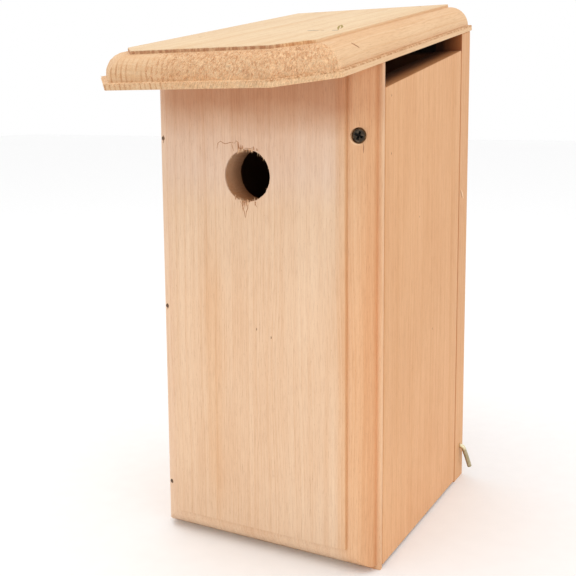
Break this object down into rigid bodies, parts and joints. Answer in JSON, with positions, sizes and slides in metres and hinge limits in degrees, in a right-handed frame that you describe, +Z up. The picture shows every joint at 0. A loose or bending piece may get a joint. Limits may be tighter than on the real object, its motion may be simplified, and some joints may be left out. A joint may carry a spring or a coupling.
{
  "type": "birdhouse",
  "caption": "Wooden nest box with a routed front, a round entrance, a sloping roof, a side door that pivots on two screws and a turning wire latch.",
  "frame": {"origin": "middle of the bounding box's bottom, on the plane of the front and back boards' lower edges", "axes": "+Z up, -Y out of the front with the entrance, +X towards the door side"},
  "size_m": [0.1486, 0.2268, 0.3191],
  "materials": {
    "body_wood": "planed, unfinished pale softwood",
    "door_wood": "planed, unfinished, warmer softwood",
    "roof_wood": "planed top, rough routed end grain",
    "bronzed_steel": "dark bronzed screw",
    "nail_steel": "dull steel",
    "brass_wire": "pale, dull brass-plated wire"
  },
  "bodies": {
    "house": {"front_panel": "body_wood", "back_panel": "body_wood", "left_side_panel": "body_wood", "floor_panel": "body_wood", "roof": "roof_wood", "side_nail_front_1": "nail_steel", "side_nail_front_2": "nail_steel", "side_nail_front_3": "nail_steel", "side_nail_back_1": "nail_steel", "side_nail_back_2": "nail_steel", "side_nail_back_3": "nail_steel", "floor_nail_left_1": "nail_steel", "floor_nail_left_2": "nail_steel", "floor_nail_back_1": "nail_steel", "floor_nail_back_2": "nail_steel", "roof_brad_front_1": "nail_steel", "roof_brad_front_2": "nail_steel", "roof_brad_back_1": "nail_steel", "roof_brad_back_2": "nail_steel"},
    "door": {"side_door": "door_wood", "pivot_screw_front": "bronzed_steel", "pivot_screw_back": "bronzed_steel"},
    "latch": {"latch_hook": "brass_wire"}
  },
  "joints": [
    {"name": "door_pivot", "type": "hinge", "parent": "house", "child": "door", "pos_m": [0.05774, 0.03205, 0.2387], "axis": [0, -1, 0], "range_deg": [0, 140]},
    {"name": "latch_turn", "type": "hinge", "parent": "house", "child": "latch", "pos_m": [0.06649, 0.10665, 0.0224], "axis": [-1, 0, 0], "range_deg": [-72, 108]}
  ]
}
